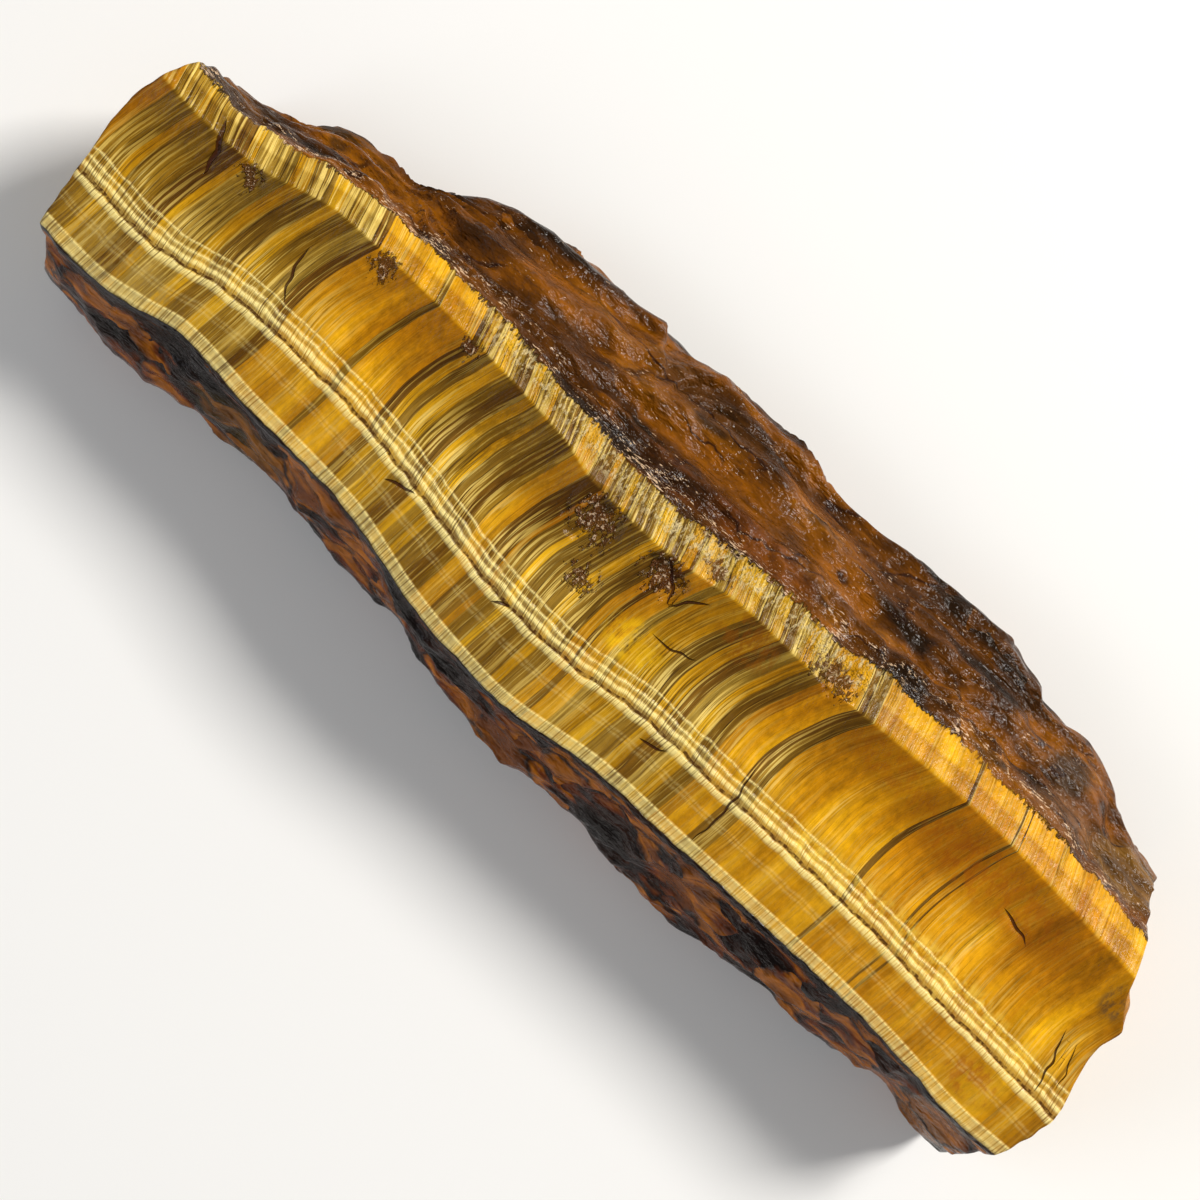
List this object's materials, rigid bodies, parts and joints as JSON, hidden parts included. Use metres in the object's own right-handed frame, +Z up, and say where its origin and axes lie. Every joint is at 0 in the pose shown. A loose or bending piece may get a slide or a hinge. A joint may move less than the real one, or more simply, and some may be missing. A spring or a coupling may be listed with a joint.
{
  "type": "rough tiger's eye",
  "caption": "rough slab of golden brown tiger's eye with a broken, banded fibre face between brown and dark rock walls, lying on a flat parting face",
  "frame": {"origin": "on the flat resting face, under the middle of the stone", "axes": "X runs along the stone's length, Y up the fibres from the dark wall to the brown wall, Z up out of the fibre face"},
  "size_m": [0.2995, 0.1013, 0.0461],
  "materials": {
    "tigers_eye": "silky fresh break"
  },
  "bodies": {
    "root": {"tigers_eye_stone": "tigers_eye"}
  },
  "joints": []
}
